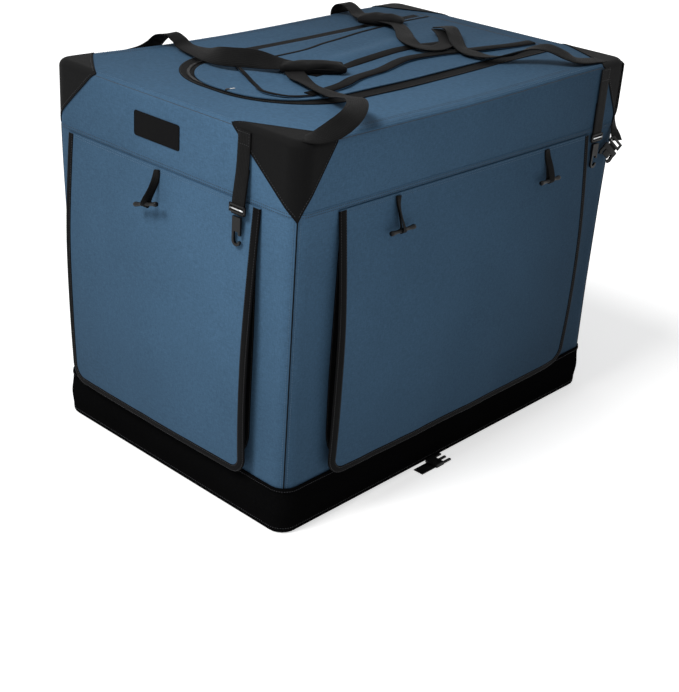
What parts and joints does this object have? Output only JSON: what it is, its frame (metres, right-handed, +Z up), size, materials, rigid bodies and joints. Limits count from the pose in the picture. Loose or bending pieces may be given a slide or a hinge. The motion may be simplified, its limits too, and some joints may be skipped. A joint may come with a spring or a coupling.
{
  "type": "soft folding dog crate",
  "caption": "Soft-sided folding pet crate with a hinged tube frame, zipped mesh doors under roll-up cloth covers, and webbing carry handles.",
  "frame": {"origin": "centre of the crate's base, on the ground", "axes": "+Z up, the front door faces -Y, the side door faces +X"},
  "size_m": [0.6565, 0.9608, 0.75],
  "materials": {
    "wall_cloth": "slate-blue woven cloth",
    "cover_cloth": "slate-blue woven cloth",
    "black_cloth": "black woven cloth",
    "mesh": "black knitted mesh in a sewn rim",
    "webbing": "black woven webbing",
    "plastic": "black moulded plastic",
    "fleece": "grey fleece",
    "board": "black stiff board",
    "steel": "grey powder coat"
  },
  "bodies": {
    "base": {"base_frame": "steel", "foot_bracket_front_left": "plastic", "foot_bracket_front_right": "plastic", "foot_bracket_rear_left": "plastic", "foot_bracket_rear_right": "plastic", "base_tray": "black_cloth", "floor_board": "board", "fleece_mat": "fleece", "front_wall": "wall_cloth", "rear_wall": "wall_cloth", "left_wall": "wall_cloth", "right_wall": "wall_cloth", "left_mesh_window": "mesh", "rear_mesh_window": "mesh"},
    "front_lower_leg": {"front_lower_frame": "steel", "knee_fork_front_left": "plastic", "knee_fork_front_right": "plastic"},
    "front_upper_leg": {"front_upper_frame": "steel", "knee_eye_front_left": "plastic", "knee_eye_front_right": "plastic"},
    "rear_lower_leg": {"rear_lower_frame": "steel", "knee_fork_rear_left": "plastic", "knee_fork_rear_right": "plastic"},
    "rear_upper_leg": {"rear_upper_frame": "steel", "knee_eye_rear_left": "plastic", "knee_eye_rear_right": "plastic"},
    "roof": {"top_frame": "steel", "roof_bracket_front_left": "plastic", "roof_bracket_front_right": "plastic", "roof_bracket_rear_left": "plastic", "roof_bracket_rear_right": "plastic", "upper_band": "wall_cloth", "roof_panel": "wall_cloth", "corner_patch_front_left": "black_cloth", "corner_patch_front_right": "black_cloth", "corner_patch_rear_left": "black_cloth", "corner_patch_rear_right": "black_cloth", "name_plate": "plastic"},
    "front_cover": {"front_cover": "cover_cloth"},
    "right_cover": {"right_cover": "cover_cloth"},
    "left_cover": {"left_cover": "cover_cloth"},
    "rear_cover": {"rear_cover": "cover_cloth"},
    "roof_cover": {"roof_cover": "cover_cloth"},
    "front_door": {"front_mesh_door": "mesh"},
    "right_door": {"right_mesh_door": "mesh"},
    "roof_door": {"roof_mesh_door": "mesh"},
    "front_handle": {"front_handle": "webbing", "front_handle_grip": "black_cloth"},
    "rear_handle": {"rear_handle": "webbing", "rear_handle_grip": "black_cloth"},
    "front_toggle": {"front_toggle": "webbing"},
    "right_toggle_front": {"right_toggle_front": "webbing"},
    "right_toggle_rear": {"right_toggle_rear": "webbing"},
    "front_hook_strap": {"front_snap_hook_strap": "webbing"},
    "front_hook": {"front_snap_hook": "plastic"},
    "rear_hook_strap": {"rear_snap_hook_strap": "webbing"},
    "rear_hook": {"rear_snap_hook": "plastic"},
    "corner_buckle": {"corner_buckle": "plastic"},
    "ground_buckle": {"ground_buckle": "plastic"}
  },
  "joints": [
    {"name": "frame_fold", "type": "hinge", "parent": "base", "child": "front_lower_leg", "pos_m": [0, -0.4317, 0.0343], "axis": [1, 0, 0], "range_deg": [-90, 0], "deforming": ["front_wall", "rear_wall", "left_wall", "right_wall", "left_mesh_window", "rear_mesh_window", "upper_band", "corner_patch_front_left", "corner_patch_front_right", "corner_patch_rear_left", "corner_patch_rear_right", "name_plate"]},
    {"name": "front_knee", "type": "hinge", "parent": "front_lower_leg", "child": "front_upper_leg", "pos_m": [0, -0.4477, 0.35425], "axis": [1, 0, 0], "range_deg": [0, 180]},
    {"name": "roof_hinge", "type": "hinge", "parent": "front_upper_leg", "child": "roof", "pos_m": [0, -0.4317, 0.6742], "axis": [1, 0, 0], "range_deg": [-90, 0]},
    {"name": "rear_fold", "type": "hinge", "parent": "base", "child": "rear_lower_leg", "pos_m": [0, 0.4317, 0.0343], "axis": [1, 0, 0], "range_deg": [0, 90]},
    {"name": "rear_knee", "type": "hinge", "parent": "rear_lower_leg", "child": "rear_upper_leg", "pos_m": [0, 0.4477, 0.35425], "axis": [1, 0, 0], "range_deg": [-180, 0]},
    {"name": "front_cover_hinge", "type": "hinge", "parent": "base", "child": "front_cover", "pos_m": [0, -0.459, 0.5835], "axis": [-1, 0, 0], "range_deg": [0, 110], "deforming": ["front_snap_hook_strap", "front_snap_hook"]},
    {"name": "front_door_hinge", "type": "hinge", "parent": "base", "child": "front_door", "pos_m": [0, -0.4555, 0.55905], "axis": [-1, 0, 0], "range_deg": [0, 99]},
    {"name": "right_cover_hinge", "type": "hinge", "parent": "base", "child": "right_cover", "pos_m": [0.307, 0, 0.5835], "axis": [0, -1, 0], "range_deg": [0, 110]},
    {"name": "right_door_hinge", "type": "hinge", "parent": "base", "child": "right_door", "pos_m": [0.3035, 0, 0.55905], "axis": [0, -1, 0], "range_deg": [0, 99]},
    {"name": "left_cover_hinge", "type": "hinge", "parent": "base", "child": "left_cover", "pos_m": [-0.307, 0, 0.5835], "axis": [0, 1, 0], "range_deg": [0, 110]},
    {"name": "rear_cover_hinge", "type": "hinge", "parent": "base", "child": "rear_cover", "pos_m": [0, 0.459, 0.5835], "axis": [1, 0, 0], "range_deg": [0, 110]},
    {"name": "roof_cover_hinge", "type": "hinge", "parent": "roof", "child": "roof_cover", "pos_m": [0, 0.38685, 0.7101], "axis": [-1, 0, 0], "range_deg": [0, 100], "deforming": ["front_handle", "front_handle_grip", "rear_handle", "rear_handle_grip"]},
    {"name": "roof_door_hinge", "type": "hinge", "parent": "roof", "child": "roof_door", "pos_m": [0, 0.38305, 0.70675], "axis": [-1, 0, 0], "range_deg": [0, 90]},
    {"name": "front_handle_lift", "type": "hinge", "parent": "roof", "child": "front_handle", "pos_m": [0, -0.415, 0.7109], "axis": [1, 0, 0], "range_deg": [0, 95]},
    {"name": "rear_handle_lift", "type": "hinge", "parent": "roof", "child": "rear_handle", "pos_m": [0, 0.415, 0.7109], "axis": [-1, 0, 0], "range_deg": [0, 95]},
    {"name": "front_toggle_swing", "type": "hinge", "parent": "front_cover", "child": "front_toggle", "pos_m": [-0.034, -0.46135, 0.5805], "axis": [-1, 0, 0], "range_deg": [-6, 70]},
    {"name": "right_toggle_front_swing", "type": "hinge", "parent": "right_cover", "child": "right_toggle_front", "pos_m": [0.30935, -0.2235, 0.5805], "axis": [0, -1, 0], "range_deg": [-3, 70]},
    {"name": "right_toggle_rear_swing", "type": "hinge", "parent": "right_cover", "child": "right_toggle_rear", "pos_m": [0.30935, 0.205, 0.5805], "axis": [0, -1, 0], "range_deg": [-3, 70]},
    {"name": "front_strap_swing", "type": "hinge", "parent": "roof", "child": "front_hook_strap", "pos_m": [0.183, -0.4588, 0.7015], "axis": [-1, 0, 0], "range_deg": [0, 72]},
    {"name": "front_hook_swing", "type": "hinge", "parent": "front_hook_strap", "child": "front_hook", "pos_m": [0.183, -0.4727, 0.56045], "axis": [-1, 0, 0], "range_deg": [0, 80]},
    {"name": "rear_strap_swing", "type": "hinge", "parent": "roof", "child": "rear_hook_strap", "pos_m": [0.3068, 0.377, 0.7015], "axis": [0, -1, 0], "range_deg": [0, 72]},
    {"name": "rear_hook_swing", "type": "hinge", "parent": "rear_hook_strap", "child": "rear_hook", "pos_m": [0.311, 0.377, 0.56045], "axis": [0, -1, 0], "range_deg": [0, 80]},
    {"name": "corner_buckle_swing", "type": "hinge", "parent": "roof", "child": "corner_buckle", "pos_m": [0.29749, 0.44949, 0.7015], "axis": [0.7071, -0.7071, 0], "range_deg": [0, 72]},
    {"name": "ground_buckle_lift", "type": "hinge", "parent": "base", "child": "ground_buckle", "pos_m": [0.3231, -0.108, 0], "axis": [1, 0, 0], "range_deg": [0, 80]}
  ],
  "couplings": [
    {"joint": "front_knee", "follows": "frame_fold", "ratio": -2},
    {"joint": "roof_hinge", "follows": "frame_fold", "ratio": 1},
    {"joint": "rear_fold", "follows": "frame_fold", "ratio": -1},
    {"joint": "rear_knee", "follows": "frame_fold", "ratio": 2},
    {"joint": "front_strap_swing", "follows": "frame_fold", "ratio": -0.8},
    {"joint": "rear_strap_swing", "follows": "frame_fold", "ratio": -0.8},
    {"joint": "corner_buckle_swing", "follows": "frame_fold", "ratio": -0.8},
    {"joint": "front_door_hinge", "follows": "front_cover_hinge", "ratio": 0.9},
    {"joint": "right_door_hinge", "follows": "right_cover_hinge", "ratio": 0.9},
    {"joint": "roof_door_hinge", "follows": "roof_cover_hinge", "ratio": 0.9}
  ]
}
